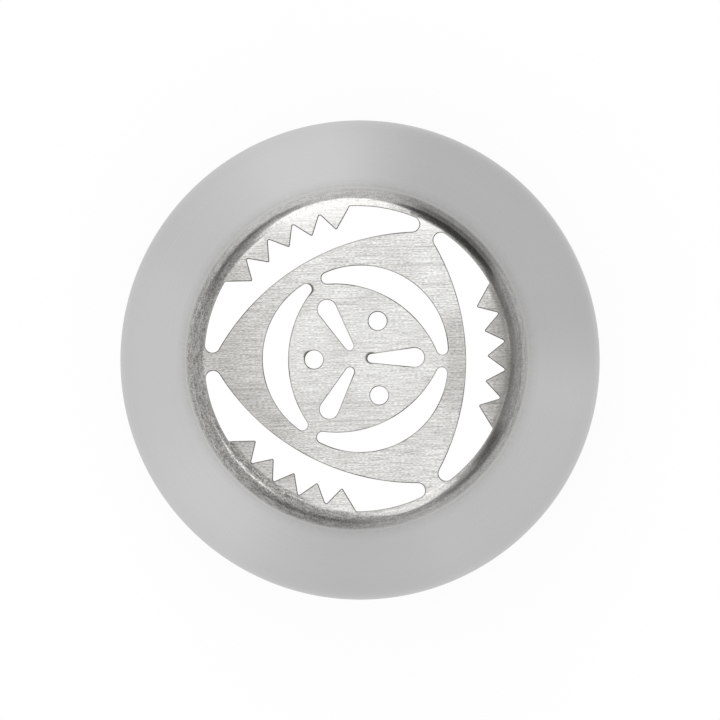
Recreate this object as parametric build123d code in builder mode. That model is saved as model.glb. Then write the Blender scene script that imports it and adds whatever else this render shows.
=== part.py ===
from build123d import *

import os
from math import atan, cos, degrees, hypot, radians, sin, tan

# Piping nozzle in thin stainless sheet: a tapered wall, open at the base, closed at the tip
# by a flat face that is pierced with a three-fold pattern of slots and holes.
# Millimetres. +Z up, origin on the axis in the plane of the base rim, pierced face on top.

# Overall form
base_diameter = 34.0  # outside, at the open base
face_diameter = 22.5  # outside, where wall and face would cross if the bend were sharp
height = 40.0
wall = 0.5  # sheet thickness, square to the surface
bend_radius = 1.5  # outside of the bend between wall and face
lip_straight = 0.3  # straight wall left on the face piece, from the bend down to the seam
rim_chamfer = 0.12  # both edges of the base rim, deburred

# Pierced pattern: each kind of opening stands once in each sector. Places along a radius
# are shares of the pattern's own radius, so the pattern keeps its layout on a wider face.
sector_count = 3
rim_land = 1.1  # from the sharp corner of wall and face in to the pattern's edge

# Serrated openings, the outermost: a slot toothed along its outer arc
serrated_width = 2.9  # across the middle, from arc to arc
serrated_horn_angle = 53.45  # from the middle of the slot to the centre of either end round
serrated_horn_radius = 0.5
tooth_count = 5
tooth_height = 1.51  # from the outer arc in to the tip
tooth_angle = 75.6  # between the two flanks of one tooth
tooth_pitch = 11.08  # angle from one tooth to the next, seen from the nozzle's axis
tooth_edge_radius = 0.1  # rounding of tips and of the valleys between them

# Crescent slots, on the necks between the serrated openings
crescent_outer_share = 0.617
crescent_width = 1.69
crescent_horn_share = 0.5625
crescent_horn_angle = 52.1
crescent_horn_radius = 0.37
crescent_lean = -2.87  # angle that they are turned from the middle of their neck

# Teardrop slots, in line with the serrated openings, their narrow ends at the axis
drop_head_share = 0.379
drop_head_radius = 0.63
drop_tail_share = 0.0968
drop_tail_radius = 0.29

# Round holes, inside the crescents
hole_share = 0.2813
hole_radius = 0.61

cut_overrun = 0.5  # every cut runs past both sides of the sheet by this much

# Worked out from the sizes above
taper = atan((base_diameter - face_diameter) / 2 / height)
wall_across = wall / cos(taper)  # sheet thickness measured level
bend_depth = wall + (bend_radius - wall) * (1 - sin(taper))  # where the inside bend ends
seam_height = height - bend_depth - lip_straight
neck_angle = 360 / sector_count / 2
pattern_radius = face_diameter / 2 - rim_land
tooth_tip_reach = pattern_radius - tooth_height


def outer_radius(level):
    """Radius of the outside of the wall at a height above the rim."""
    return base_diameter / 2 - level * tan(taper)


def inner_radius(level):
    """Radius of the inside of the wall at a height above the rim."""
    return outer_radius(level) - wall_across


def arc_centre(reach, horn_x, horn_reach):
    """Centre, on the X axis, of the arc through a reach on that axis and a horn's centre."""
    return (reach**2 - horn_reach**2) / 2 / (reach - horn_x)


def crescent(outer_reach, width, horn_reach, horn_angle, horn_radius):
    """Slot across the X axis between two arcs, both tangent to a round at either horn."""
    inner_reach = outer_reach - width
    horn_x = horn_reach * cos(radians(horn_angle))
    outer_centre = arc_centre(outer_reach - horn_radius, horn_x, horn_reach)
    inner_centre = arc_centre(inner_reach + horn_radius, horn_x, horn_reach)
    with BuildSketch(mode=Mode.PRIVATE) as slot:
        with Locations((outer_centre, 0)):
            Circle(outer_reach - outer_centre)
        with Locations((inner_centre, 0)):
            Circle(inner_reach - inner_centre, mode=Mode.SUBTRACT)
        by_width = slot.vertices().sort_by(Axis.Y)
        fillet([by_width[0], by_width[-1]], horn_radius)
    return slot.sketch


def is_tooth_corner(point):
    """True at the tips of the teeth, in their valleys and where the row of teeth ends."""
    beyond_tips = hypot(point.X, point.Y) > tooth_tip_reach - tooth_edge_radius
    bearing = degrees(atan(abs(point.Y) / point.X))
    return beyond_tips and bearing < tooth_pitch * (tooth_count + 1) / 2


# Serrated opening: the slot loses the five teeth, then their corners are eased
with BuildSketch(mode=Mode.PRIVATE) as serrated_opening:
    add(
        crescent(
            pattern_radius,
            serrated_width,
            pattern_radius - serrated_horn_radius,
            serrated_horn_angle,
            serrated_horn_radius,
        )
    )
    tooth_length = tooth_height + cut_overrun
    tooth_half_width = tooth_length * tan(radians(tooth_angle / 2))
    teeth_span = tooth_pitch * (tooth_count - 1)
    with PolarLocations(tooth_tip_reach, tooth_count, -teeth_span / 2, teeth_span, endpoint=True):
        Polygon(
            (0, 0),
            (tooth_length, -tooth_half_width),
            (tooth_length, tooth_half_width),
            mode=Mode.SUBTRACT,
        )
    fillet(serrated_opening.vertices().filter_by(is_tooth_corner), tooth_edge_radius)

crescent_slot = crescent(
    crescent_outer_share * pattern_radius,
    crescent_width,
    crescent_horn_share * pattern_radius,
    crescent_horn_angle,
    crescent_horn_radius,
)

# Teardrop: the outline drawn tight round a large and a small circle
with BuildSketch(mode=Mode.PRIVATE) as teardrop:
    with Locations((drop_head_share * pattern_radius, 0)):
        Circle(drop_head_radius)
    with Locations((drop_tail_share * pattern_radius, 0)):
        Circle(drop_tail_radius)
    make_hull()

# Tapered body: conical wall from the base rim up to the seam
with BuildPart() as tapered_body:
    with BuildSketch(Plane.XZ):
        with BuildLine():
            Polyline(
                (inner_radius(0), 0),
                (outer_radius(0), 0),
                (outer_radius(seam_height), seam_height),
                (inner_radius(seam_height), seam_height),
                close=True,
            )
        make_face()
    revolve(axis=Axis.Z)
    rim_edges = tapered_body.edges().filter_by(GeomType.CIRCLE).group_by(Axis.Z)[0]
    chamfer(rim_edges, rim_chamfer)

# Pierced face: lip, bend and flat face turned as one section, then pierced
with BuildPart() as pierced_face:
    with BuildSketch(Plane.XZ) as cap_section:
        inner_corner = (inner_radius(height - wall), height - wall)
        outer_corner = (outer_radius(height), height)
        with BuildLine():
            Polyline(
                (0, height - wall),
                inner_corner,
                (inner_radius(seam_height), seam_height),
                (outer_radius(seam_height), seam_height),
                outer_corner,
                (0, height),
                close=True,
            )
        make_face()
        fillet(cap_section.vertices().sort_by_distance(inner_corner)[0], bend_radius - wall)
        fillet(cap_section.vertices().sort_by_distance(outer_corner)[0], bend_radius)
    revolve(axis=Axis.Z)

    with BuildSketch(Plane.XY.offset(height + cut_overrun)):
        with PolarLocations(0, sector_count):
            add(serrated_opening.sketch)
            add(teardrop.sketch)
        with PolarLocations(0, sector_count, start_angle=neck_angle + crescent_lean):
            add(crescent_slot)
        with PolarLocations(hole_share * pattern_radius, sector_count, start_angle=neck_angle):
            Circle(hole_radius)
    extrude(amount=-(wall + 2 * cut_overrun), mode=Mode.SUBTRACT)

tapered_body.part.label = "tapered_body"
pierced_face.part.label = "pierced_face"

os.makedirs("parts", exist_ok=True)
export_step(tapered_body.part, "parts/tapered_body.step")
export_step(pierced_face.part, "parts/pierced_face.step")
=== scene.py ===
from cmath import phase, rect
from math import acos, atan, ceil, cos, degrees, hypot, pi, radians, sin, sqrt, tan

import bmesh
import bpy
from mathutils import Matrix, Vector
from mathutils.geometry import delaunay_2d_cdt
from mathutils.kdtree import KDTree


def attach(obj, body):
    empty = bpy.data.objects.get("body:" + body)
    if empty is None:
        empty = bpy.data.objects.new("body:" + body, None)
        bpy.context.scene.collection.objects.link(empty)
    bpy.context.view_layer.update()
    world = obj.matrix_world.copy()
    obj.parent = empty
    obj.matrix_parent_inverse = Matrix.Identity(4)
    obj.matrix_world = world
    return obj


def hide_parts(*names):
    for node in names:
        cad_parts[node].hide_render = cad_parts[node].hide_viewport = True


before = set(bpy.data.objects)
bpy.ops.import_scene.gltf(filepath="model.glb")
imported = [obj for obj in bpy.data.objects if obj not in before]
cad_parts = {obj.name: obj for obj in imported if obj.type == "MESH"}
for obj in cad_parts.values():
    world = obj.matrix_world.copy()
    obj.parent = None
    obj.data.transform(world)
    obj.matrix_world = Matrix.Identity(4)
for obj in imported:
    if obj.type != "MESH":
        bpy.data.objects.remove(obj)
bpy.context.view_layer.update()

# A piping nozzle in stainless sheet. Shapes are worked out in millimetres, the same as the
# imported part, and turned to metres when a piece is finished. Bearings are degrees round +Z.

MM = 0.001
FOOT_RADIUS = 17.0  # outside of the wall, at the base
FACE_RADIUS = 11.25  # where the wall's slope would meet the top of the face
HEIGHT = 40.0
SLOPE = (FOOT_RADIUS - FACE_RADIUS) / HEIGHT
TAPER = atan(SLOPE)
SHEET = 0.5
SHEET_ACROSS = SHEET / cos(TAPER)  # thickness of the wall, measured level
SEAM = 38.342  # where the wall piece ends and the face piece begins
RIM_CHAMFER = 0.12
BEND_RADIUS = 1.5
INSIDE_RADIUS = BEND_RADIUS - SHEET
BEND_CENTRE = FACE_RADIUS - BEND_RADIUS * tan(pi / 4 - TAPER / 2)  # where the bend starts
PLATE_EDGE = 10.45  # the pierced plate is meshed out to here, and the bend beyond it is turned
TURN_STEPS = 288
PLATE_RINGS = (BEND_CENTRE, 10.1, 10.2, 10.3)  # rings of points where the plate starts to bend
RING_CLEARANCE = 0.11  # a ring's point closer than this to an outline is left out
WELD_REACH = 0.0005
SLIVER = 0.0002
SHARP_ANGLE = 35

REPEATS = 3  # the pattern of openings is this many times round the axis
TOOTH_EASE = 0.1  # rounding of the tips and valleys of the teeth
CRESCENT_TURN = 2.87
CUT_EASE = 0.04  # rounding of the edges of every opening
CUT_EASE_STEPS = 4
CUT_LEDGE = 0.06  # how far the swept edge reaches over the plate


# --- Outlines of the openings, as complex numbers in the plane of the face ---


def arc(centre, radius, start, end, chord=0.2, turn=14):
    """Points along an arc from one bearing to another, both ends included.

    No step is longer than the chord, or turns by more degrees than the turn.
    """
    sweep = abs(end - start)
    steps = max(2, ceil(radius * radians(sweep) / chord), ceil(sweep / turn))
    bearings = (radians(start + (end - start) * i / steps) for i in range(steps + 1))
    return [centre + rect(radius, bearing) for bearing in bearings]


def eased(outline, corners, radius):
    """The closed outline with the numbered corners rounded."""
    rounded = []
    for i, point in enumerate(outline):
        if i not in corners:
            rounded.append(point)
            continue
        arriving = point - outline[i - 1]
        leaving = outline[(i + 1) % len(outline)] - point
        turn = phase(leaving / arriving)
        reach = radius * tan(abs(turn) / 2)
        side = 1j if turn > 0 else -1j
        start = point - arriving / abs(arriving) * reach
        centre = start + side * arriving / abs(arriving) * radius
        bearing = degrees(phase(start - centre))
        rounded += arc(centre, radius, bearing, bearing + degrees(turn), turn=13)
    return rounded


def slot_arcs(outer_reach, width, horn_reach, horn_angle, horn_radius):
    """Half of a crescent's outline: its outer arc, then its horn and its inner arc."""
    inner_reach = outer_reach - width
    horn = rect(horn_reach, radians(horn_angle))

    def arc_centre(reach):
        return (reach**2 - horn_reach**2) / 2 / (reach - horn.real)

    outer_centre = arc_centre(outer_reach - horn_radius)
    inner_centre = arc_centre(inner_reach + horn_radius)
    outer_turn = degrees(phase(horn - outer_centre))
    inner_turn = degrees(phase(horn - inner_centre))
    outer = arc(outer_centre, outer_reach - outer_centre, 0, outer_turn)
    round_end = arc(horn, horn_radius, outer_turn, inner_turn + 180)
    inner = arc(inner_centre, inner_reach - inner_centre, inner_turn, 0)
    return outer, round_end[1:-1] + inner


def mirrored(half):
    """A closed outline from its upper half, which runs from the axis to the axis."""
    return half + [point.conjugate() for point in half[-2:0:-1]]


def serrated_outline():
    """A long crescent with five teeth along its outer arc, drawn by halves."""
    reach, tip_reach, pitch, half_angle = 10.15, 8.64, 11.08, 37.8
    half_row = 3  # the middle tooth and the two on one side of it
    outer, rest = slot_arcs(
        outer_reach=reach, width=2.9, horn_reach=9.65, horn_angle=53.45, horn_radius=0.5
    )
    flank = rect(1, radians(half_angle))
    half_pitch = tan(radians(pitch / 2))
    valley = tip_reach * half_pitch / (flank.imag - flank.real * half_pitch)
    half_chord = tip_reach * flank.real
    full = sqrt(half_chord**2 + reach**2 - tip_reach**2) - half_chord
    row = []
    for tooth in range(half_row):
        turn = rect(1, radians(pitch * tooth))
        row.append(tip_reach * turn)
        row.append((tip_reach + (valley if tooth < half_row - 1 else full) * flank) * turn)
    row_end = degrees(phase(row[-1]))
    horn_turn = degrees(phase(outer[-1]))
    outline = mirrored(row + arc(0, reach, row_end + 1, horn_turn) + rest)
    corners = set(range(len(row))) | {len(outline) - i for i in range(1, len(row))}
    return eased(outline, corners, TOOTH_EASE)


def teardrop_outline():
    """The line drawn tight round a large circle and a small one nearer the axis."""
    head, head_radius, tail, tail_radius = 3.847, 0.63, 0.983, 0.29
    touch = degrees(acos((tail_radius - head_radius) / (head - tail)))
    return arc(head, head_radius, -touch, touch) + arc(tail, tail_radius, touch, 360 - touch)


def crescent_outline():
    outer, rest = slot_arcs(
        outer_reach=6.263, width=1.69, horn_reach=5.709, horn_angle=52.1, horn_radius=0.37
    )
    return mirrored(outer + rest)


def round_outline():
    return arc(centre=2.855, radius=0.61, start=0, end=360)[:-1]


def turned(outline, bearing):
    """The outline turned round the axis."""
    return [point * rect(1, radians(bearing)) for point in outline]


# One of each kind, two on the first bearing and two halfway to the next
halfway = 180 / REPEATS
opening_outlines = [
    serrated_outline(),
    teardrop_outline(),
    turned(crescent_outline(), halfway - CRESCENT_TURN),
    turned(round_outline(), halfway),
]


def into_metal(outline, reach):
    """The outline moved out of its opening, along the same normals as a swept edge."""
    moved = []
    for i, point in enumerate(outline):
        arriving = point - outline[i - 1]
        leaving = outline[(i + 1) % len(outline)] - point
        run = arriving / abs(arriving) + leaving / abs(leaving)
        moved.append(point - 1j * run / abs(run) * reach)
    return moved


# --- Nodes ---


def add_node(tree, kind, inputs=None, **settings):
    """Adds a node with its settings, then links or fills its inputs by name or number.

    A Mix node takes its share at input 0, two floats at 2 and 3, or two colours at 6 and 7,
    and gives a float at output 0 or a colour at output 2.
    """
    node = tree.nodes.new(kind)
    for name, value in settings.items():
        setattr(node, name, value)
    for key, value in (inputs or {}).items():
        if isinstance(value, bpy.types.NodeSocket):
            tree.links.new(value, node.inputs[key])
        else:
            node.inputs[key].default_value = value
    return node


def geometry_tree(name, inputs):
    """An empty Geometry Nodes tree, its input node, and the identifier of each named input."""
    tree = bpy.data.node_groups.new(name, "GeometryNodeTree")
    tree.interface.new_socket("Geometry", in_out="INPUT", socket_type="NodeSocketGeometry")
    named = {}
    for label, kind in inputs.items():
        socket = tree.interface.new_socket(label, in_out="INPUT", socket_type=kind)
        named[label] = socket.identifier
    tree.interface.new_socket("Geometry", in_out="OUTPUT", socket_type="NodeSocketGeometry")
    return tree, tree.nodes.new("NodeGroupInput").outputs, named


def run_tree(tree, named, outlines, closed, values):
    """Runs a tree on a curve of straight runs through the given points and returns its mesh."""
    curve = bpy.data.curves.new(tree.name, "CURVE")
    curve.dimensions = "3D"
    for outline in outlines:
        spline = curve.splines.new("POLY")
        spline.points.add(len(outline) - 1)
        for place, point in zip(spline.points, outline):
            place.co = (*point, 1)
        spline.use_cyclic_u = closed
    source = bpy.data.objects.new(tree.name, curve)
    bpy.context.scene.collection.objects.link(source)
    modifier = source.modifiers.new(tree.name, "NODES")
    modifier.node_group = tree
    for label, value in values.items():
        modifier[named[label]] = value
    graph = bpy.context.evaluated_depsgraph_get()
    mesh = bpy.data.meshes.new_from_object(source.evaluated_get(graph))
    source.modifiers.remove(modifier)
    bpy.data.objects.remove(source)
    return mesh


# A section, drawn with its radius along X and its height along Z, turned round the axis
turning, turning_given, turning_inputs = geometry_tree(
    "turned_sheet",
    {
        "Steps Round": "NodeSocketInt",
        "Path Radius": "NodeSocketFloat",
        "Material": "NodeSocketMaterial",
    },
)
path = add_node(
    turning, "GeometryNodeCurvePrimitiveCircle",
    {"Resolution": turning_given["Steps Round"], "Radius": turning_given["Path Radius"]},
    mode="RADIUS",
)
from_path = add_node(
    turning, "ShaderNodeVectorMath",
    {0: (-1, 0, 0), "Scale": turning_given["Path Radius"]}, operation="SCALE",
)
section = add_node(
    turning, "GeometryNodeTransform",
    {
        "Geometry": turning_given["Geometry"],
        "Translation": from_path.outputs[0],
        "Rotation": (pi / 2, 0, 0),
    },
)
turned_sheet = add_node(
    turning, "GeometryNodeCurveToMesh",
    {"Curve": path.outputs["Curve"], "Profile Curve": section.outputs["Geometry"]},
)
whole_sheet = add_node(
    turning, "GeometryNodeRealizeInstances", {"Geometry": turned_sheet.outputs["Mesh"]}
)
steel_sheet = add_node(
    turning, "GeometryNodeSetMaterial",
    {"Geometry": whole_sheet.outputs["Geometry"], "Material": turning_given["Material"]},
)
add_node(turning, "NodeGroupOutput", {"Geometry": steel_sheet.outputs["Geometry"]})

# Outlines repeated round the axis, each swept with the section of a cut through the sheet
cutting, cutting_given, cutting_inputs = geometry_tree(
    "pierced_edges",
    {
        "Repeats": "NodeSocketInt",
        "Sheet": "NodeSocketFloat",
        "Edge Ease": "NodeSocketFloat",
        "Edge Ledge": "NodeSocketFloat",
        "Face Height": "NodeSocketFloat",
        "Material": "NodeSocketMaterial",
    },
)
pattern = add_node(cutting, "GeometryNodeGeometryToInstance", {0: cutting_given["Geometry"]})
copies = add_node(
    cutting, "GeometryNodeDuplicateElements",
    {"Geometry": pattern.outputs[0], "Amount": cutting_given["Repeats"]}, domain="INSTANCE",
)
copy_step = add_node(
    cutting, "ShaderNodeMath", {0: 2 * pi, 1: cutting_given["Repeats"]}, operation="DIVIDE"
)
copy_turn = add_node(
    cutting, "ShaderNodeMath",
    {0: copies.outputs["Duplicate Index"], 1: copy_step.outputs[0]}, operation="MULTIPLY",
)
turn_by = add_node(cutting, "ShaderNodeCombineXYZ", {"Z": copy_turn.outputs[0]})
placed = add_node(
    cutting, "GeometryNodeRotateInstances",
    {"Instances": copies.outputs["Geometry"], "Rotation": turn_by.outputs[0]},
)
whole_pattern = add_node(
    cutting, "GeometryNodeRealizeInstances", {"Geometry": placed.outputs[0]}
)
ledge_top = add_node(cutting, "ShaderNodeCombineXYZ", {"X": cutting_given["Edge Ledge"]})
wall_foot = add_node(cutting, "ShaderNodeCombineXYZ", {"Y": cutting_given["Sheet"]})
ledge_foot = add_node(
    cutting, "ShaderNodeCombineXYZ",
    {"X": cutting_given["Edge Ledge"], "Y": cutting_given["Sheet"]},
)
cut_frame = add_node(
    cutting, "GeometryNodeCurvePrimitiveQuadrilateral",
    {
        "Point 1": ledge_top.outputs[0],
        "Point 2": (0, 0, 0),
        "Point 3": wall_foot.outputs[0],
        "Point 4": ledge_foot.outputs[0],
    },
    mode="POINTS",
)
open_side = add_node(
    cutting, "GeometryNodeSetSplineCyclic",
    {"Geometry": cut_frame.outputs[0], "Cyclic": False},
)
cut_section = add_node(
    cutting, "GeometryNodeFilletCurve",
    {
        "Curve": open_side.outputs[0],
        "Count": CUT_EASE_STEPS,
        "Radius": cutting_given["Edge Ease"],
    },
    mode="POLY",
)
swept_edges = add_node(
    cutting, "GeometryNodeCurveToMesh",
    {"Curve": whole_pattern.outputs["Geometry"], "Profile Curve": cut_section.outputs[0]},
)
lift = add_node(cutting, "ShaderNodeCombineXYZ", {"Z": cutting_given["Face Height"]})
lifted_edges = add_node(
    cutting, "GeometryNodeTransform",
    {"Geometry": swept_edges.outputs["Mesh"], "Translation": lift.outputs[0]},
)
steel_edges = add_node(
    cutting, "GeometryNodeSetMaterial",
    {"Geometry": lifted_edges.outputs["Geometry"], "Material": cutting_given["Material"]},
)
add_node(cutting, "NodeGroupOutput", {"Geometry": steel_edges.outputs["Geometry"]})


# --- Materials ---


def linear(hex_colour):
    """Linear RGBA of an sRGB hex colour."""
    parts = [int(hex_colour[i : i + 2], 16) / 255 for i in (1, 3, 5)]
    return (*[p / 12.92 if p <= 0.04045 else ((p + 0.055) / 1.055) ** 2.4 for p in parts], 1)


def direction(bearing, elevation=0):
    """Unit vector towards a bearing and an elevation in degrees, seen from the nozzle."""
    level = rect(cos(radians(elevation)), radians(bearing))
    return Vector((level.real, level.imag, sin(radians(elevation))))


def on_side(tree, place, towards, begin, full, least=0.0, most=1.0):
    """A zone that grows softly from least to most towards one side.

    Begin and full are lengths along the direction, or cosines where place is a unit vector.
    """
    along = add_node(
        tree, "ShaderNodeVectorMath", {0: place, 1: towards}, operation="DOT_PRODUCT"
    )
    zone = add_node(
        tree, "ShaderNodeMapRange",
        {
            "Value": along.outputs["Value"], "From Min": begin, "From Max": full,
            "To Min": least, "To Max": most,
        },
        interpolation_type="SMOOTHSTEP",
    )
    return zone.outputs[0]


def steel(name):
    """A material with its principled shader, and Object coordinates in millimetres."""
    material = bpy.data.materials.new(name)
    material.use_nodes = True
    tree = material.node_tree
    tree.nodes.clear()
    shader = add_node(tree, "ShaderNodeBsdfPrincipled", {"Metallic": 1.0})
    add_node(tree, "ShaderNodeOutputMaterial", {"Surface": shader.outputs[0]})
    place = add_node(tree, "ShaderNodeTexCoord")
    mm = add_node(
        tree, "ShaderNodeMapping", {"Vector": place.outputs["Object"], "Scale": (1 / MM,) * 3}
    )
    return material, tree, shader, mm.outputs[0]


# Stainless sheet with a satin finish from spinning: smooth and even, with hair-fine lines
# round the axis, and faint draw marks that run down from the bend and fade out.
satin_wall, tree, shader, mm = steel("satin_spun_stainless")
wall_xyz = add_node(tree, "ShaderNodeSeparateXYZ", {0: mm})
wall_flat = add_node(tree, "ShaderNodeVectorMath", {0: mm, 1: (1, 1, 0)}, operation="MULTIPLY")
wall_outward = add_node(
    tree, "ShaderNodeVectorMath", {0: wall_flat.outputs[0]}, operation="NORMALIZE"
)
# Spinning lines 0.14 mm wide, coarser than real ones, which would be too fine to show
spun_place = add_node(
    tree, "ShaderNodeVectorMath", {0: mm, 1: (0.05, 0.05, 7.0)}, operation="MULTIPLY"
)
spun_lines = add_node(
    tree, "ShaderNodeTexNoise", {"Vector": spun_place.outputs[0], "Scale": 1.0, "Detail": 3.0}
)
spun_tone = add_node(
    tree, "ShaderNodeMix",
    {0: spun_lines.outputs[0], 6: linear("#AFB0B0"), 7: linear("#BEBEBD")}, data_type="RGBA",
)
# Draw marks 0.2 mm wide round the wall and several millimetres long
marks_round = add_node(
    tree, "ShaderNodeVectorMath", {0: wall_outward.outputs[0], "Scale": 60.0}, operation="SCALE"
)
marks_down = add_node(
    tree, "ShaderNodeVectorMath", {0: mm, 1: (0, 0, 0.35)}, operation="MULTIPLY"
)
marks_place = add_node(
    tree, "ShaderNodeVectorMath",
    {0: marks_round.outputs[0], 1: marks_down.outputs[0]}, operation="ADD",
)
marks = add_node(
    tree, "ShaderNodeTexNoise", {"Vector": marks_place.outputs[0], "Scale": 1.0, "Detail": 3.0}
)
near_bend = add_node(
    tree, "ShaderNodeMapRange",
    {"Value": wall_xyz.outputs["Z"], "From Min": 32.5, "From Max": 38.4, "To Max": 0.95},
    interpolation_type="SMOOTHSTEP",
)
faded_marks = add_node(
    tree, "ShaderNodeMath", {0: near_bend.outputs[0], 1: marks.outputs[0]}, operation="MULTIPLY"
)
# Close to the bend the sheet is darker all round
at_bend = add_node(
    tree, "ShaderNodeMapRange",
    {"Value": wall_xyz.outputs["Z"], "From Min": 36.2, "From Max": 38.4, "To Max": 0.2},
    interpolation_type="SMOOTHSTEP",
)
darkened = add_node(
    tree, "ShaderNodeMath", {0: faded_marks.outputs[0], 1: at_bend.outputs[0]}, operation="ADD"
)
wall_tone = add_node(
    tree, "ShaderNodeMix",
    {0: darkened.outputs[0], 6: spun_tone.outputs[2], 7: linear("#979693")}, data_type="RGBA",
)
tree.links.new(wall_tone.outputs[2], shader.inputs["Base Color"])
wall_rough = add_node(
    tree, "ShaderNodeMapRange", {"Value": spun_lines.outputs[0], "To Min": 0.24, "To Max": 0.34}
)
tree.links.new(wall_rough.outputs[0], shader.inputs["Roughness"])

# The face is ground with a belt: nearly straight grain along X, with a few deeper scores. The
# bend keeps the torn, pitted skin of the drawing die, duller and darker.
grained_face, tree, shader, mm = steel("belt_ground_stainless")
face_xyz = add_node(tree, "ShaderNodeSeparateXYZ", {0: mm})
face_flat = add_node(tree, "ShaderNodeVectorMath", {0: mm, 1: (1, 1, 0)}, operation="MULTIPLY")
face_outward = add_node(
    tree, "ShaderNodeVectorMath", {0: face_flat.outputs[0]}, operation="NORMALIZE"
).outputs[0]
from_axis = add_node(
    tree, "ShaderNodeVectorMath", {0: face_flat.outputs[0]}, operation="LENGTH"
).outputs["Value"]
# Grain lines 0.07 mm wide and 2 mm long, broken up by flecks as narrow and 0.2 mm long.
# Both are drawn coarser than real belt grain, which would be too fine to show.
line_place = add_node(
    tree, "ShaderNodeVectorMath", {0: mm, 1: (0.5, 14.0, 1.0)}, operation="MULTIPLY"
)
grain_lines = add_node(
    tree, "ShaderNodeTexNoise",
    {
        "Vector": line_place.outputs[0], "Scale": 1.0, "Detail": 1.0,
        "Roughness": 0.6, "Distortion": 0.05,
    },
)
fleck_place = add_node(
    tree, "ShaderNodeVectorMath", {0: mm, 1: (5.0, 14.0, 1.0)}, operation="MULTIPLY"
)
grain_flecks = add_node(
    tree, "ShaderNodeTexNoise", {"Vector": fleck_place.outputs[0], "Scale": 1.0, "Detail": 0.0}
)
grain = add_node(
    tree, "ShaderNodeMix", {0: 0.45, 2: grain_lines.outputs[0], 3: grain_flecks.outputs[0]},
    data_type="FLOAT",
)
# The grain is a little fainter in the middle
grain_contrast = add_node(
    tree, "ShaderNodeMapRange",
    {"Value": from_axis, "From Min": 4.0, "From Max": 6.5, "To Min": 2.2, "To Max": 2.65},
    interpolation_type="SMOOTHSTEP",
)
grain_off = add_node(
    tree, "ShaderNodeMath", {0: grain.outputs[0], 1: 0.5}, operation="SUBTRACT"
)
ground = add_node(
    tree, "ShaderNodeMath", {0: grain_off.outputs[0], 1: grain_contrast.outputs[0], 2: 0.5},
    operation="MULTIPLY_ADD", use_clamp=True,
)
ground_tone = add_node(
    tree, "ShaderNodeMix",
    {0: ground.outputs[0], 6: linear("#AAA9A7"), 7: linear("#EBEBE9")}, data_type="RGBA",
)
# Scores 0.2 mm wide and up to 7 mm long
score_place = add_node(
    tree, "ShaderNodeVectorMath", {0: mm, 1: (0.14, 5.0, 0.14)}, operation="MULTIPLY"
)
scores = add_node(
    tree, "ShaderNodeTexNoise",
    {"Vector": score_place.outputs[0], "Scale": 1.0, "Detail": 2.0, "Distortion": 0.3},
)
scored = add_node(
    tree, "ShaderNodeMapRange",
    {"Value": scores.outputs[0], "From Min": 0.37, "From Max": 0.31, "To Max": 0.25},
)
scored_tone = add_node(
    tree, "ShaderNodeMix",
    {0: scored.outputs[0], 6: ground_tone.outputs[2], 7: linear("#7D7A76")}, data_type="RGBA",
)
# Painted shade darkens the left side, and patches a few millimetres wide took the belt unevenly
painted_shade_left = on_side(tree, mm, direction(192), 2.8, 8.8, most=0.45)
patch_place = add_node(
    tree, "ShaderNodeVectorMath", {0: mm, 1: (0.28, 0.45, 0.3)}, operation="MULTIPLY"
)
patches = add_node(
    tree, "ShaderNodeTexNoise", {"Vector": patch_place.outputs[0], "Scale": 1.0, "Detail": 2.0}
)
uneven = add_node(
    tree, "ShaderNodeMapRange",
    {"Value": patches.outputs[0], "From Min": 0.52, "From Max": 0.3, "To Max": 0.2},
)
# Painted shade also darkens it away from the middle, except at the back, and a strip in front is
# darker
outward_shade_most = on_side(tree, face_outward, direction(62), 0.85, 0.25, most=0.15)
painted_shade_outward = add_node(
    tree, "ShaderNodeMapRange",
    {"Value": from_axis, "From Min": 3.8, "From Max": 6.0, "To Max": outward_shade_most},
    interpolation_type="SMOOTHSTEP",
)
strip_off = add_node(tree, "ShaderNodeMath", {0: face_xyz.outputs["Y"], 1: 4.0}, operation="ADD")
from_strip = add_node(tree, "ShaderNodeMath", {0: strip_off.outputs[0]}, operation="ABSOLUTE")
in_strip = add_node(
    tree, "ShaderNodeMapRange",
    {"Value": from_strip.outputs[0], "From Min": 3.4, "From Max": 1.0, "To Max": 0.09},
    interpolation_type="SMOOTHSTEP",
)
patches_and_painted_shade = painted_shade_left
for lighter in (uneven, painted_shade_outward, in_strip):
    patches_and_painted_shade = add_node(
        tree, "ShaderNodeMath", {0: patches_and_painted_shade, 1: lighter.outputs[0]}, operation="ADD"
    ).outputs[0]
# Painted shade on the right: dark beside the bend, and less dark further in
on_right = on_side(tree, face_outward, direction(-3), 0.82, 0.97)
further_in = add_node(
    tree, "ShaderNodeMapRange",
    {"Value": from_axis, "From Min": 5.4, "From Max": 6.4, "To Max": 0.58},
    interpolation_type="SMOOTHSTEP",
)
beside_bend = add_node(
    tree, "ShaderNodeMapRange", {"Value": from_axis, "From Min": 7.9, "From Max": 9.8},
    interpolation_type="SMOOTHSTEP",
)
painted_shade_ring = add_node(
    tree, "ShaderNodeMath", {0: further_in.outputs[0], 1: beside_bend.outputs[0]},
    operation="MAXIMUM",
)
painted_shade_right = add_node(
    tree, "ShaderNodeMath", {0: on_right, 1: painted_shade_ring.outputs[0]}, operation="MULTIPLY"
)
# Random patches and the painted shade share one darker tone
patches_and_all_painted_shade = add_node(
    tree, "ShaderNodeMath", {0: patches_and_painted_shade, 1: painted_shade_right.outputs[0]}, operation="MAXIMUM"
)
patchy_and_shaded_tone = add_node(
    tree, "ShaderNodeMix",
    {0: ground.outputs[0], 6: linear("#797773"), 7: linear("#AFADAA")}, data_type="RGBA",
)
dull_tone = add_node(
    tree, "ShaderNodeMix",
    {0: patches_and_all_painted_shade.outputs[0], 6: scored_tone.outputs[2], 7: patchy_and_shaded_tone.outputs[2]},
    data_type="RGBA",
)
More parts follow.
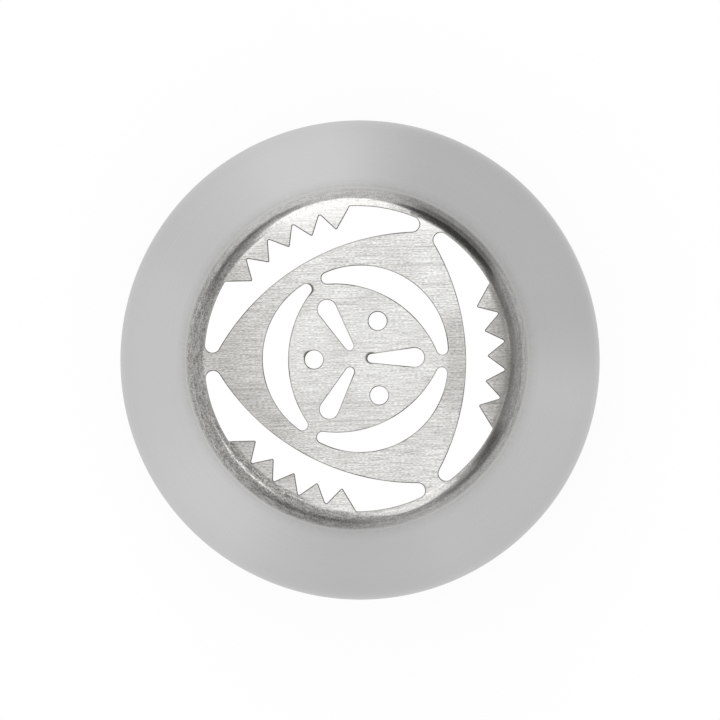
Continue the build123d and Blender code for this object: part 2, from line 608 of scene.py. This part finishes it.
# At the back, beside the bend, a painted highlight makes the face bright
painted_highlight_back = on_side(tree, face_outward, direction(88), 0.75, 0.97, most=0.45)
by_bend = add_node(
    tree, "ShaderNodeMapRange", {"Value": from_axis, "From Min": 8.8, "From Max": 9.9},
    interpolation_type="SMOOTHSTEP",
)
painted_highlight_share = add_node(
    tree, "ShaderNodeMath", {0: painted_highlight_back, 1: by_bend.outputs[0]}, operation="MULTIPLY"
)
face_tone = add_node(
    tree, "ShaderNodeMix",
    {0: painted_highlight_share.outputs[0], 6: dull_tone.outputs[2], 7: linear("#F4F3F1")},
    data_type="RGBA",
)
# The bend: pits 0.1 mm across and short drag lines that run round the axis, plain on the
# left where the die dragged hardest and hardly seen on the right
pit_place = add_node(
    tree, "ShaderNodeVectorMath", {0: mm, 1: (9.0, 9.0, 9.0)}, operation="MULTIPLY"
)
pits = add_node(
    tree, "ShaderNodeTexNoise", {"Vector": pit_place.outputs[0], "Scale": 1.0, "Detail": 1.0}
)
drag_round = add_node(
    tree, "ShaderNodeVectorMath", {0: face_flat.outputs[0], "Scale": 1.8}, operation="SCALE"
)
drag_across = add_node(tree, "ShaderNodeMath", {0: from_axis, 1: 8.0}, operation="MULTIPLY")
drag_lift = add_node(tree, "ShaderNodeCombineXYZ", {"Z": drag_across.outputs[0]})
drag_place = add_node(
    tree, "ShaderNodeVectorMath", {0: drag_round.outputs[0], 1: drag_lift.outputs[0]},
    operation="ADD",
)
drag_lines = add_node(
    tree, "ShaderNodeTexNoise",
    {"Vector": drag_place.outputs[0], "Scale": 1.0, "Detail": 3.0, "Roughness": 0.6},
)
torn = add_node(
    tree, "ShaderNodeMath", {0: pits.outputs[0], 1: drag_lines.outputs[0]}, operation="ADD"
)
dragged = on_side(tree, face_outward, direction(207), 0.15, 0.7, least=0.22)
torn_share = add_node(
    tree, "ShaderNodeMapRange", {"Value": torn.outputs[0], "From Min": 0.8, "From Max": 1.2}
)
torn_dark = add_node(
    tree, "ShaderNodeMix", {0: dragged, 6: linear("#CECDCB"), 7: linear("#A19F9B")},
    data_type="RGBA",
)
torn_tone = add_node(
    tree, "ShaderNodeMix",
    {0: torn_share.outputs[0], 6: torn_dark.outputs[2], 7: linear("#E6E5E2")},
    data_type="RGBA",
)
# The torn skin has a ragged border
border_spread = add_node(
    tree, "ShaderNodeMath", {0: patches.outputs[0], 1: 0.9, 2: from_axis},
    operation="MULTIPLY_ADD",
)
ragged = add_node(
    tree, "ShaderNodeMath", {0: torn.outputs[0], 1: 0.3, 2: border_spread.outputs[0]},
    operation="MULTIPLY_ADD",
)
drawn = add_node(
    tree, "ShaderNodeMapRange",
    {"Value": ragged.outputs[0], "From Min": 10.75, "From Max": 11.15},
    interpolation_type="SMOOTHSTEP",
)
skin_tone = add_node(
    tree, "ShaderNodeMix",
    {0: drawn.outputs[0], 6: face_tone.outputs[2], 7: torn_tone.outputs[2]}, data_type="RGBA",
)
# Just inside the bend: painted shade on the right, and dark in patches on the lower left
before_bend = add_node(
    tree, "ShaderNodeMapRange", {"Value": from_axis, "From Min": 9.72, "From Max": 10.08},
    interpolation_type="SMOOTHSTEP",
)
off_bend = add_node(
    tree, "ShaderNodeMapRange", {"Value": from_axis, "From Min": 10.85, "From Max": 9.95},
    interpolation_type="SMOOTHSTEP",
)
at_corner = add_node(
    tree, "ShaderNodeMath", {0: before_bend.outputs[0], 1: off_bend.outputs[0]},
    operation="MULTIPLY",
)
corner_right = on_side(tree, face_outward, direction(-3), 0.74, 0.9)
painted_shade_corner = add_node(
    tree, "ShaderNodeMath", {0: at_corner.outputs[0], 1: corner_right}, operation="MULTIPLY"
)
painted_shade_corner_tone = add_node(
    tree, "ShaderNodeMix",
    {0: ground.outputs[0], 6: linear("#72706C"), 7: linear("#8A8884")}, data_type="RGBA",
)
corner_shaded_tone = add_node(
    tree, "ShaderNodeMix",
    {0: painted_shade_corner.outputs[0], 6: skin_tone.outputs[2], 7: painted_shade_corner_tone.outputs[2]},
    data_type="RGBA",
)
toward_dark_patches = on_side(tree, face_outward, direction(225), 0.87, 0.94, most=0.75)
ring_off = add_node(
    tree, "ShaderNodeMath", {0: from_axis, 1: 10.06}, operation="SUBTRACT"
)
ring_far = add_node(tree, "ShaderNodeMath", {0: ring_off.outputs[0]}, operation="ABSOLUTE")
in_ring = add_node(
    tree, "ShaderNodeMapRange", {"Value": ring_far.outputs[0], "From Min": 0.3, "From Max": 0.1},
    interpolation_type="SMOOTHSTEP",
)
broken_up = add_node(
    tree, "ShaderNodeMapRange",
    {"Value": torn.outputs[0], "From Min": 1.15, "From Max": 0.85, "To Min": 0.25},
)
dark_patches = toward_dark_patches
for limit in (in_ring, broken_up):
    dark_patches = add_node(
        tree, "ShaderNodeMath", {0: dark_patches, 1: limit.outputs[0]}, operation="MULTIPLY"
    ).outputs[0]
marked_tone = add_node(
    tree, "ShaderNodeMix", {0: dark_patches, 6: corner_shaded_tone.outputs[2], 7: linear("#5E5C5A")},
    data_type="RGBA",
)
# Scorched beside three openings, where the laser broke through
for mark_place in ((-3.15, 0.21, HEIGHT), (-3.16, 4.68, HEIGHT), (0.95, 0.03, HEIGHT)):
    from_mark = add_node(
        tree, "ShaderNodeVectorMath", {0: mm, 1: mark_place}, operation="DISTANCE"
    )
    scorch_mark = add_node(
        tree, "ShaderNodeMapRange",
        {"Value": from_mark.outputs["Value"], "From Min": 0.45, "From Max": 0.35, "To Max": 0.85},
        interpolation_type="SMOOTHSTEP",
    )
    marked_tone = add_node(
        tree, "ShaderNodeMix",
        {0: scorch_mark.outputs[0], 6: marked_tone.outputs[2], 7: linear("#57534F")},
        data_type="RGBA",
    )
# Below the bend the skin smooths out into the satin wall
smoothed = add_node(
    tree, "ShaderNodeMapRange",
    {"Value": face_xyz.outputs["Z"], "From Min": 39.45, "From Max": 38.7},
    interpolation_type="SMOOTHSTEP",
)
cap_tone = add_node(
    tree, "ShaderNodeMix",
    {0: smoothed.outputs[0], 6: marked_tone.outputs[2], 7: linear("#AEAEAC")}, data_type="RGBA",
)
tree.links.new(cap_tone.outputs[2], shader.inputs["Base Color"])
torn_rough = add_node(
    tree, "ShaderNodeMapRange",
    {"Value": dragged, "From Min": 0.22, "To Min": 0.15, "To Max": 0.2},
)
skin_rough = add_node(
    tree, "ShaderNodeMix", {0: drawn.outputs[0], 2: 0.3, 3: torn_rough.outputs[0]},
    data_type="FLOAT",
)
cap_rough = add_node(
    tree, "ShaderNodeMix", {0: smoothed.outputs[0], 2: skin_rough.outputs[0], 3: 0.29},
    data_type="FLOAT",
)
tree.links.new(cap_rough.outputs[0], shader.inputs["Roughness"])
# The grain and the torn skin are a few thousandths of a millimetre deep
grain_depth = add_node(
    tree, "ShaderNodeMath", {0: grain.outputs[0], 1: 0.2}, operation="MULTIPLY"
)
dragged_depth = add_node(
    tree, "ShaderNodeMath", {0: torn.outputs[0], 1: dragged}, operation="MULTIPLY"
)
torn_depth = add_node(
    tree, "ShaderNodeMath", {0: dragged_depth.outputs[0], 1: 0.25}, operation="MULTIPLY"
)
skin_depth = add_node(
    tree, "ShaderNodeMix",
    {0: drawn.outputs[0], 2: grain_depth.outputs[0], 3: torn_depth.outputs[0]},
    data_type="FLOAT",
)
above_wall = add_node(
    tree, "ShaderNodeMath", {0: 1.0, 1: smoothed.outputs[0]}, operation="SUBTRACT"
)
cap_depth = add_node(
    tree, "ShaderNodeMath", {0: skin_depth.outputs[0], 1: above_wall.outputs[0]},
    operation="MULTIPLY",
)
relief = add_node(
    tree, "ShaderNodeBump",
    {"Height": cap_depth.outputs[0], "Distance": 0.000008, "Strength": 1.0},
)
tree.links.new(relief.outputs[0], shader.inputs["Normal"])

# Walls of the openings, cut by laser: dull grey with fine streaks down the cut, scorched
# unevenly along it, and nearly black where the beam first broke through
cut_edge, tree, shader, mm = steel("laser_cut_stainless")
streak_place = add_node(
    tree, "ShaderNodeVectorMath", {0: mm, 1: (9.0, 9.0, 1.0)}, operation="MULTIPLY"
)
streaks = add_node(
    tree, "ShaderNodeTexNoise", {"Vector": streak_place.outputs[0], "Scale": 1.0, "Detail": 2.0}
)
cut_tone = add_node(
    tree, "ShaderNodeMix",
    {0: streaks.outputs[0], 6: linear("#A3A19E"), 7: linear("#D0CFCC")}, data_type="RGBA",
)
scorch_place = add_node(
    tree, "ShaderNodeVectorMath", {0: mm, 1: (0.45, 0.45, 0.3)}, operation="MULTIPLY"
)
scorch = add_node(
    tree, "ShaderNodeTexNoise", {"Vector": scorch_place.outputs[0], "Scale": 1.0, "Detail": 1.0}
)
in_patches = add_node(
    tree, "ShaderNodeMapRange",
    {"Value": scorch.outputs[0], "From Min": 0.46, "From Max": 0.64, "To Max": 0.85},
)
cut_flat = add_node(tree, "ShaderNodeVectorMath", {0: mm, 1: (1, 1, 0)}, operation="MULTIPLY")
cut_from_axis = add_node(
    tree, "ShaderNodeVectorMath", {0: cut_flat.outputs[0]}, operation="LENGTH"
).outputs["Value"]
# Dark further out too, but the long outer arcs came out clean
outermost = add_node(
    tree, "ShaderNodeMapRange",
    {"Value": cut_from_axis, "From Min": 8.0, "From Max": 8.8, "To Max": 0.75},
    interpolation_type="SMOOTHSTEP",
)
off_long_arc = add_node(
    tree, "ShaderNodeMapRange",
    {
        "Value": cut_from_axis, "From Min": 9.9, "From Max": 10.08,
        "To Min": 1.0, "To Max": 0.15,
    },
)
scorched = add_node(
    tree, "ShaderNodeMath", {0: in_patches.outputs[0], 1: off_long_arc.outputs[0]},
    operation="MULTIPLY",
)
outer_scorched = add_node(
    tree, "ShaderNodeMath", {0: outermost.outputs[0], 1: off_long_arc.outputs[0]},
    operation="MULTIPLY",
)
scorched = add_node(
    tree, "ShaderNodeMath", {0: scorched.outputs[0], 1: outer_scorched.outputs[0]},
    operation="MAXIMUM",
)
for start_place in ((0.82, 0.25, 39.75), (-2.86, 4.62, 39.75), (-3.4, 0.38, 39.75)):
    from_start = add_node(
        tree, "ShaderNodeVectorMath", {0: mm, 1: start_place}, operation="DISTANCE"
    )
    start_scorch = add_node(
        tree, "ShaderNodeMapRange",
        {"Value": from_start.outputs["Value"], "From Min": 0.7, "From Max": 0.35, "To Max": 1.6},
        interpolation_type="SMOOTHSTEP",
    )
    scorched = add_node(
        tree, "ShaderNodeMath", {0: scorched.outputs[0], 1: start_scorch.outputs[0]},
        operation="MAXIMUM",
    )
edge_tone = add_node(
    tree, "ShaderNodeMix",
    {0: scorched.outputs[0], 6: cut_tone.outputs[2], 7: linear("#57534F")}, data_type="RGBA",
)
tree.links.new(edge_tone.outputs[2], shader.inputs["Base Color"])
shader.inputs["Roughness"].default_value = 0.38


# --- Pieces ---


def finish_piece(name, mesh, node):
    """Gives a finished mesh its object, in metres, in place of a CAD node."""
    mesh.transform(Matrix.Scale(MM, 4))
    mesh.shade_smooth()
    mesh.set_sharp_from_angle(angle=radians(SHARP_ANGLE))
    piece = bpy.data.objects.new(name, mesh)
    bpy.context.scene.collection.objects.link(piece)
    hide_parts(node)
    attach(piece, "root")


def outer_radius(height):
    """Radius of the outside of the wall at a height."""
    return FOOT_RADIUS - SLOPE * height


def welded(name, meshes, materials):
    """One closed mesh from meshes whose borders meet, with its faces pointing outwards.

    A mesh takes the material of its own number, or else the first.
    """
    shape = bmesh.new()
    for number, mesh in enumerate(meshes):
        old = len(shape.faces)
        shape.from_mesh(mesh)
        shape.faces.ensure_lookup_table()
        for face in shape.faces[old:]:
            face.material_index = number if number < len(materials) else 0
    bmesh.ops.remove_doubles(shape, verts=shape.verts, dist=WELD_REACH)
    bmesh.ops.dissolve_degenerate(shape, edges=shape.edges, dist=SLIVER)
    bmesh.ops.recalc_face_normals(shape, faces=shape.faces)
    mesh = bpy.data.meshes.new(name)
    shape.to_mesh(mesh)
    shape.free()
    for material in materials:
        mesh.materials.append(material)
    return mesh


# Wall: one closed section, from the deburred rim up to the seam
chamfer_rise = RIM_CHAMFER * cos(TAPER)
wall_section = [
    (outer_radius(0) - RIM_CHAMFER, 0, 0),
    (outer_radius(chamfer_rise), 0, chamfer_rise),
    (outer_radius(SEAM), 0, SEAM),
    (outer_radius(SEAM) - SHEET_ACROSS, 0, SEAM),
    (outer_radius(chamfer_rise) - SHEET_ACROSS, 0, chamfer_rise),
    (outer_radius(0) - SHEET_ACROSS + RIM_CHAMFER, 0, 0),
]
turning_values = {
    "Steps Round": TURN_STEPS,
    "Path Radius": FOOT_RADIUS,
    "Material": satin_wall,
}
wall_mesh = run_tree(turning, turning_inputs, [wall_section], True, turning_values)
finish_piece(
    "tapered_wall", welded("tapered_wall", [wall_mesh], [satin_wall]),
    "tapered_body",
)


def top_height(radius):
    """Height of the top of the face, which falls away where the bend starts."""
    return HEIGHT - BEND_RADIUS + sqrt(BEND_RADIUS**2 - max(0, radius - BEND_CENTRE) ** 2)


def bottom_height(radius):
    """Height of the underside of the face."""
    return HEIGHT - BEND_RADIUS + sqrt(INSIDE_RADIUS**2 - max(0, radius - BEND_CENTRE) ** 2)


# Bend and lip: an open section from the plate's edge, over the bend, down to the seam and back
bend_middle = complex(BEND_CENTRE, HEIGHT - BEND_RADIUS)
wall_turn = degrees(TAPER)
top_turn = degrees(acos((PLATE_EDGE - BEND_CENTRE) / BEND_RADIUS))
bottom_turn = degrees(acos((PLATE_EDGE - BEND_CENTRE) / INSIDE_RADIUS))
over_bend = arc(bend_middle, BEND_RADIUS, top_turn, wall_turn, chord=0.1, turn=3)
lip = [complex(outer_radius(SEAM), SEAM), complex(outer_radius(SEAM) - SHEET_ACROSS, SEAM)]
under_bend = arc(bend_middle, INSIDE_RADIUS, wall_turn, bottom_turn, chord=0.1, turn=5)
bend_section = [(point.real, 0, point.imag) for point in over_bend + lip + under_bend]
bend_mesh = run_tree(
    turning, turning_inputs, [bend_section], False, {**turning_values, "Material": grained_face}
)

# Edges of the openings, bent down with the sheet where they reach the bend
cut_mesh = run_tree(
    cutting, cutting_inputs,
    [[(point.real, point.imag, 0) for point in outline] for outline in opening_outlines], True,
    {
        "Repeats": REPEATS,
        "Sheet": SHEET,
        "Edge Ease": CUT_EASE,
        "Edge Ledge": CUT_LEDGE,
        "Face Height": HEIGHT,
        "Material": cut_edge,
    },
)
for vertex in cut_mesh.vertices:
    across = hypot(vertex.co.x, vertex.co.y)
    depth = (HEIGHT - vertex.co.z) / SHEET
    vertex.co.z = top_height(across) * (1 - depth) + bottom_height(across) * depth

# Plates: the two flat sides of the face, with rings of points where the bend starts
borders = [
    turned(into_metal(outline, CUT_LEDGE), 360 / REPEATS * repeat)
    for outline in opening_outlines
    for repeat in range(REPEATS)
]
points = [rect(PLATE_EDGE, 2 * pi * i / TURN_STEPS) for i in range(TURN_STEPS)]
faces = [list(range(TURN_STEPS))]
for border in borders:
    faces.append(list(range(len(points), len(points) + len(border))))
    points += border
near = KDTree(len(points))
for number, point in enumerate(points):
    near.insert((point.real, point.imag, 0), number)
near.balance()
for ring in PLATE_RINGS:
    for point in (rect(ring, 2 * pi * (i + 0.5) / TURN_STEPS) for i in range(TURN_STEPS)):
        if near.find((point.real, point.imag, 0))[2] > RING_CLEARANCE:
            points.append(point)
flat_points, _, flat_faces, _, _, face_of = delaunay_2d_cdt(
    [Vector((point.real, point.imag)) for point in points], [], faces, 0, 1e-6
)
# Metal is what lies inside the plate's edge and in no opening
metal = [face for face, inside_of in zip(flat_faces, face_of) if list(inside_of) == [0]]
plate_meshes = []
for name, height_of in (("top", top_height), ("underside", bottom_height)):
    plate = bpy.data.meshes.new(name)
    plate.from_pydata([(x, y, height_of(hypot(x, y))) for x, y in flat_points], [], metal)
    plate_shape = bmesh.new()
    plate_shape.from_mesh(plate)
    unused = [point for point in plate_shape.verts if not point.link_faces]
    bmesh.ops.delete(plate_shape, geom=unused, context="VERTS")
    plate_shape.to_mesh(plate)
    plate_shape.free()
    plate_meshes.append(plate)

face_mesh = welded("pierced_cap", [bend_mesh, cut_mesh, *plate_meshes], [grained_face, cut_edge])
finish_piece("pierced_cap", face_mesh, "pierced_face")

# --- Camera. Lengths are in metres from here on. ---

# The photograph is taken from straight above, a few millimetres off the axis, and turned by
# a little over a degree
PHOTO_TURN = radians(-1.25)
STAND_RIGHT, STAND_DOWN, STAND_HEIGHT = 0.00323, 0.00145, 0.640
image_right = Vector((cos(PHOTO_TURN), sin(PHOTO_TURN), 0))
image_up = Vector((-sin(PHOTO_TURN), cos(PHOTO_TURN), 0))
stand = image_right * STAND_RIGHT - image_up * STAND_DOWN + Vector((0, 0, STAND_HEIGHT))
back = stand.normalized()
side = image_up.cross(back).normalized()
aim = Matrix((side, back.cross(side), back)).transposed().to_4x4()
camera = bpy.data.objects.new("camera", bpy.data.cameras.new("camera"))
camera.data.sensor_width = 36
camera.data.lens = 451.5
camera.data.clip_start = 0.01
camera.data.clip_end = 10
camera.matrix_world = Matrix.Translation(stand) @ aim
bpy.context.scene.collection.objects.link(camera)
bpy.context.scene.camera = camera

# --- Floor, lamps and surroundings ---

FLOOR_REACH = 4
WHITE = (1, 1, 1, 1)

# White paper. It glows plain white to the camera and in the steel, but round the foot a tenth
# of it is left to the lamps, so that the nozzle's shadow shows.
white_paper = bpy.data.materials.new("white_paper")
white_paper.use_nodes = True
tree = white_paper.node_tree
tree.nodes.clear()
floor_place = add_node(tree, "ShaderNodeTexCoord").outputs["Object"]
floor_outward = add_node(
    tree, "ShaderNodeVectorMath", {0: floor_place}, operation="NORMALIZE"
).outputs[0]
from_nozzle = add_node(
    tree, "ShaderNodeVectorMath", {0: floor_place}, operation="LENGTH"
).outputs["Value"]
floor_rays = add_node(tree, "ShaderNodeLightPath").outputs
seen = floor_rays["Is Camera Ray"]
for other_ray in ("Is Glossy Ray", "Is Transmission Ray"):
    seen = add_node(
        tree, "ShaderNodeMath", {0: seen, 1: floor_rays[other_ray]}, operation="MAXIMUM"
    ).outputs[0]
beyond_rim = add_node(
    tree, "ShaderNodeMapRange",
    {"Value": from_nozzle, "From Min": 0.0164, "From Max": 0.0168, "To Max": 0.10},
)
round_foot = add_node(
    tree, "ShaderNodeMapRange",
    {"Value": from_nozzle, "From Min": 0.03, "From Max": 0.12, "To Min": 1.0, "To Max": 0.0},
    interpolation_type="SMOOTHSTEP",
)
shaded = add_node(
    tree, "ShaderNodeMath", {0: beyond_rim.outputs[0], 1: round_foot.outputs[0]},
    operation="MULTIPLY",
)
plain = add_node(tree, "ShaderNodeMath", {0: 1.0, 1: shaded.outputs[0]}, operation="SUBTRACT")
glow = add_node(tree, "ShaderNodeMath", {0: plain.outputs[0], 1: seen}, operation="MULTIPLY")
paper = add_node(tree, "ShaderNodeBsdfDiffuse", {"Color": linear("#F2F2F2")})
far = add_node(
    tree, "ShaderNodeMapRange", {"Value": from_nozzle, "From Min": 0.028, "From Max": 0.07},
    interpolation_type="SMOOTHSTEP",
).outputs[0]
# What the steel mirrors of the paper is dimmer further out, and isn't lit evenly. Bearing of
# each patch, half its width with and without its soft edge, and its brightness close to the
# nozzle and further out.
mirrored_glow = add_node(
    tree, "ShaderNodeMapRange", {"Value": far, "To Min": 1.0, "To Max": 0.66}
)
for bearing, outer, inner, close, further in (
    (42, 56, 23, 0.75, 0.84),
    (305, 78, 26, 0.87, 0.87),
    (168, 57, 14, 0.91, 0.95),
    (136, 24, 6, 0.95, 1.0),
    (264, 32, 11, 0.93, 0.84),
    (52, 26, 14, 1.0, 0.64),
    (106, 38, 16, 1.02, 1.16),
    (246, 32, 16, 0.97, 0.78),
    (324, 32, 16, 0.98, 0.88),
):
    patch_light = add_node(
        tree, "ShaderNodeMapRange", {"Value": far, "To Min": close, "To Max": further}
    )
    paper_patch = on_side(
        tree, floor_outward, direction(bearing), cos(radians(outer)), cos(radians(inner)),
        least=1.0, most=patch_light.outputs[0],
    )
    mirrored_glow = add_node(
        tree, "ShaderNodeMath", {0: mirrored_glow.outputs[0], 1: paper_patch},
        operation="MULTIPLY",
    )
# The nozzle shades the paper round its foot, except in the thin gap right under the rim,
# which shows as a light line in the steel
foot_shade = add_node(
    tree, "ShaderNodeMapRange",
    {"Value": from_nozzle, "From Min": 0.0178, "From Max": 0.0205, "To Min": 0.94},
    interpolation_type="SMOOTHSTEP",
)
mirrored_glow = add_node(
    tree, "ShaderNodeMath", {0: mirrored_glow.outputs[0], 1: foot_shade.outputs[0]},
    operation="MULTIPLY",
)
at_rim = add_node(
    tree, "ShaderNodeMapRange",
    {"Value": from_nozzle, "From Min": 0.0177, "From Max": 0.0171, "To Max": 0.8},
    interpolation_type="SMOOTHSTEP",
)
mirrored_glow = add_node(
    tree, "ShaderNodeMix", {0: at_rim.outputs[0], 2: mirrored_glow.outputs[0], 3: 1.0},
    data_type="FLOAT",
)
strength = add_node(
    tree, "ShaderNodeMix",
    {0: floor_rays["Is Glossy Ray"], 2: 1.0, 3: mirrored_glow.outputs[0]}, data_type="FLOAT",
)
glowing = add_node(
    tree, "ShaderNodeEmission", {"Color": WHITE, "Strength": strength.outputs[0]}
)
upper_side = add_node(
    tree, "ShaderNodeMixShader", {0: glow.outputs[0], 1: paper.outputs[0], 2: glowing.outputs[0]}
)
# From below the floor is clear
side_seen = add_node(tree, "ShaderNodeNewGeometry")
clear = add_node(tree, "ShaderNodeBsdfTransparent")
both_sides = add_node(
    tree, "ShaderNodeMixShader",
    {0: side_seen.outputs["Backfacing"], 1: upper_side.outputs[0], 2: clear.outputs[0]},
)
add_node(tree, "ShaderNodeOutputMaterial", {"Surface": both_sides.outputs[0]})
floor_corners = [
    (-FLOOR_REACH, -FLOOR_REACH, 0), (FLOOR_REACH, -FLOOR_REACH, 0),
    (FLOOR_REACH, FLOOR_REACH, 0), (-FLOOR_REACH, FLOOR_REACH, 0),
]
floor_mesh = bpy.data.meshes.new("floor")
floor_mesh.from_pydata(floor_corners, [], [(0, 1, 2, 3)])
floor_mesh.materials.append(white_paper)
floor = bpy.data.objects.new("floor", floor_mesh)
bpy.context.scene.collection.objects.link(floor)


def softbox(name, bearing, elevation, distance, width, height, radiance):
    """An oval area lamp that faces the nozzle and looks this bright in its steel."""
    lamp = bpy.data.lights.new(name, "AREA")
    lamp.shape = "ELLIPSE"
    lamp.size = width
    lamp.size_y = height
    lamp.energy = radiance * pi * pi * width * height / 4
    towards = direction(bearing, elevation)
    facing = towards.to_track_quat("Z", "Y").to_matrix().to_4x4()
    holder = bpy.data.objects.new(name, lamp)
    holder.matrix_world = Matrix.Translation(towards * distance) @ facing
    bpy.context.scene.collection.objects.link(holder)
    return holder


softbox("overhead_softbox", 95, 88, 2.0, 1.44, 1.44, 0.92)
softbox("back_softbox", 98, 51, 1.8, 1.1, 1.35, 0.98)
softbox("front_softbox", 289, 54, 1.8, 0.68, 1.5, 0.68)
softbox("kicker", 222, 50, 1.6, 0.6, 0.32, 1.08)

# Surroundings: white to the camera, and a dim studio with black cards to the steel. The room
# is a little lighter on the left.
world = bpy.data.worlds.new("studio")
bpy.context.scene.world = world
world.use_nodes = True
tree = world.node_tree
tree.nodes.clear()
outlook = add_node(tree, "ShaderNodeTexCoord").outputs["Generated"]
room_light = on_side(tree, outlook, direction(185, 10), -0.7, 0.8, least=0.4, most=0.52)
outlook_xyz = add_node(tree, "ShaderNodeSeparateXYZ", {0: outlook})
outlook_flat = add_node(
    tree, "ShaderNodeVectorMath", {0: outlook, 1: (1, 1, 0)}, operation="MULTIPLY"
)
outlook_bearing = add_node(
    tree, "ShaderNodeVectorMath", {0: outlook_flat.outputs[0]}, operation="NORMALIZE"
)
# Black cards, and a white one under the back softbox. Bearing of each, half its width, the
# elevations of its lower and upper edge, half the width of its soft edge, all in degrees,
# and how much of the room's light it leaves.
for bearing, half, low, high, soft, left in (
    (52, 21.5, 27, 62, 3, 0.13),
    (50, 17, -15, 29, 6, 0.45),
    (325, 8, 31, 60, 3, 0.35),
    (318, 16, 10, 33, 6, 0.5),
    (143, 15, 30, 68, 8, 0.66),
    (141, 14, 10, 32, 6, 0.45),
    (119, 9, 6, 28, 6, 0.45),
    (252, 20, 2, 30, 6, 0.5),
    (350, 22, 60, 78, 6, 1.3),
    (21, 10, 34, 54, 8, 0.78),
    (98, 26, -10, 35, 9, 1.5),
):
    within_width = on_side(
        tree, outlook_bearing.outputs[0], direction(bearing),
        cos(radians(half + soft)), cos(radians(half - soft)),
    )
    card_middle = (sin(radians(low)) + sin(radians(high))) / 2
    half_height = (sin(radians(high)) - sin(radians(low))) / 2
    soft_edge = radians(soft) * cos(radians((low + high) / 2))
    above_middle = add_node(
        tree, "ShaderNodeMath", {0: outlook_xyz.outputs["Z"], 1: card_middle},
        operation="SUBTRACT",
    )
    from_middle = add_node(
        tree, "ShaderNodeMath", {0: above_middle.outputs[0]}, operation="ABSOLUTE"
    )
    within_height = add_node(
        tree, "ShaderNodeMapRange",
        {
            "Value": from_middle.outputs[0],
            "From Min": half_height + soft_edge, "From Max": half_height - soft_edge,
        },
        interpolation_type="SMOOTHSTEP",
    )
    covered = add_node(
        tree, "ShaderNodeMath", {0: within_width, 1: within_height.outputs[0]},
        operation="MULTIPLY",
    )
    card_light = add_node(
        tree, "ShaderNodeMath", {0: covered.outputs[0], 1: left - 1.0, 2: 1.0},
        operation="MULTIPLY_ADD",
    )
    room_light = add_node(
        tree, "ShaderNodeMath", {0: room_light, 1: card_light.outputs[0]}, operation="MULTIPLY"
    ).outputs[0]
studio = add_node(tree, "ShaderNodeBackground", {"Color": WHITE, "Strength": room_light})
backdrop = add_node(tree, "ShaderNodeBackground", {"Color": WHITE, "Strength": 1.0})
world_rays = add_node(tree, "ShaderNodeLightPath")
surroundings = add_node(
    tree, "ShaderNodeMixShader",
    {0: world_rays.outputs["Is Camera Ray"], 1: studio.outputs[0], 2: backdrop.outputs[0]},
)
add_node(tree, "ShaderNodeOutputWorld", {"Surface": surroundings.outputs[0]})

# Light that reaches matt surfaces but isn't mirrored, so that a white card renders white
softbox("room_fill", 0, 90, 3.0, 3.5, 3.5, 2.0).visible_glossy = False

bpy.context.scene.view_settings.view_transform = "Standard"
